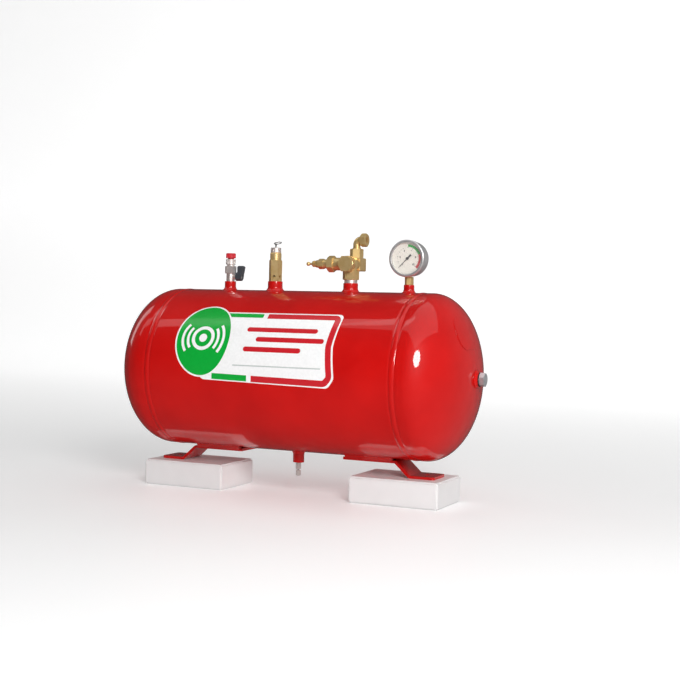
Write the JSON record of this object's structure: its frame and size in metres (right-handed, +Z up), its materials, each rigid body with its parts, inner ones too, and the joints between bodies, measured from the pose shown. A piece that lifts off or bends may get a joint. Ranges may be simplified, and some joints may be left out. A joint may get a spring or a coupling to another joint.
{
  "type": "air receiver tank",
  "caption": "Horizontal welded air receiver on two bent feet, with ball valve, safety valve, check valve, gauge and drain.",
  "frame": {"origin": "middle of the two foot bolt holes, on the underside of the feet", "axes": "+X along the tank towards the gauge end, +Y away from the gauge's face, +Z up"},
  "size_m": [0.7242, 0.3016, 0.4542],
  "materials": {
    "tank_paint": "gloss red baked enamel",
    "nickel_plate": "satin nickel plate",
    "brass": "turned brass, lightly tarnished",
    "label_print": null,
    "zinc_plate": "bright zinc plate",
    "seal_ring": "flat sealing washer",
    "seat_plastic": "white sealing plastic",
    "ball_chrome": "polished chrome",
    "steel": "turned steel",
    "handle_plastic": "moulded dark grey plastic",
    "release_plastic": "moulded red plastic",
    "ring_steel": "dark spring wire",
    "spring_steel": "spring wire",
    "gauge_case": "polished stainless",
    "gauge_glass": "clear window",
    "dial_face": "white dial with green and red arcs",
    "pointer_paint": "matt black"
  },
  "bodies": {
    "tank": {"shell": "tank_paint", "head_left": "tank_paint", "head_right": "tank_paint", "girth_welds": "tank_paint", "boss_outlet": "tank_paint", "boss_safety": "tank_paint", "boss_check": "tank_paint", "boss_gauge": "tank_paint", "boss_drain": "tank_paint", "end_bosses": "tank_paint", "foot_left": "tank_paint", "foot_right": "tank_paint", "foot_welds": "tank_paint", "data_pad": "tank_paint", "valve_body": "nickel_plate", "valve_end": "nickel_plate", "fitting_body": "nickel_plate", "fitting_collar": "nickel_plate", "safety_cap": "nickel_plate", "check_washer": "nickel_plate", "drain_body": "nickel_plate", "safety_body": "brass", "safety_bonnet": "brass", "check_body": "brass", "check_cap": "brass", "pilot_bonnet": "brass", "pilot_sleeve": "brass", "pilot_locknut": "brass", "column_adapter": "brass", "elbow": "brass", "elbow_nut": "brass", "elbow_ferrule": "brass", "gauge_stem": "brass", "gauge_movement": "brass", "gauge_tube": "brass", "label": "label_print", "end_plugs": "zinc_plate", "end_washers": "seal_ring", "valve_seats": "seat_plastic", "safety_spring": "spring_steel", "check_spring": "spring_steel", "pilot_spring": "spring_steel", "gauge_case": "gauge_case", "gauge_bezel": "gauge_case", "gauge_lens": "gauge_glass", "gauge_dial": "dial_face"},
    "valve_handle": {"valve_ball": "ball_chrome", "valve_stem": "steel", "valve_handle": "handle_plastic", "valve_handle_screw": "steel"},
    "hose_release": {"fitting_ring": "release_plastic"},
    "safety_poppet": {"safety_disc": "brass", "safety_stem": "steel"},
    "pull_ring": {"safety_ring": "ring_steel"},
    "check_poppet": {"check_disc": "brass"},
    "pilot_plunger": {"pilot_pin": "brass"},
    "pointer": {"gauge_pointer": "pointer_paint"},
    "drain_needle": {"drain_needle": "steel"},
    "drain_knob": {"drain_knob": "nickel_plate"}
  },
  "joints": [
    {"name": "valve_turn", "type": "hinge", "parent": "tank", "child": "valve_handle", "pos_m": [-0.154, 0, 0.3542], "axis": [1, 0, 0], "range_deg": [0, 90]},
    {"name": "release_press", "type": "slide", "parent": "tank", "child": "hose_release", "axis": [0, 0, -1], "range_m": [0, 0.0015], "stiffness_N_per_m": 500},
    {"name": "safety_lift", "type": "slide", "parent": "tank", "child": "safety_poppet", "axis": [0, 0, 1], "range_m": [0, 0.0025], "stiffness_N_per_m": 900, "deforming": ["safety_spring"]},
    {"name": "pull_ring_swing", "type": "hinge", "parent": "safety_poppet", "child": "pull_ring", "pos_m": [-0.057, 0, 0.417], "axis": [1, 0, 0], "range_deg": [-54, 194]},
    {"name": "check_open", "type": "slide", "parent": "tank", "child": "check_poppet", "axis": [0, -1, 0], "range_m": [0, 0.004], "stiffness_N_per_m": 120, "deforming": ["check_spring"]},
    {"name": "pilot_pull", "type": "slide", "parent": "tank", "child": "pilot_plunger", "axis": [-1, 0, 0], "range_m": [0, 0.003], "stiffness_N_per_m": 500, "deforming": ["pilot_spring"]},
    {"name": "pointer_turn", "type": "hinge", "parent": "tank", "child": "pointer", "pos_m": [0.214, -0.0123, 0.391], "axis": [0, 1, 0], "range_deg": [0, 270], "stiffness_Nm_per_rad": 0.001},
    {"name": "drain_travel", "type": "slide", "parent": "tank", "child": "drain_needle", "axis": [0, 0, -1], "range_m": [0, 0.0015]},
    {"name": "drain_turn", "type": "hinge", "parent": "drain_needle", "child": "drain_knob", "pos_m": [0, 0, -0.011], "axis": [0, 0, -1], "range_deg": [0, 720]}
  ],
  "couplings": [
    {"joint": "drain_turn", "follows": "drain_travel", "rad_per_m": 8377.6}
  ]
}
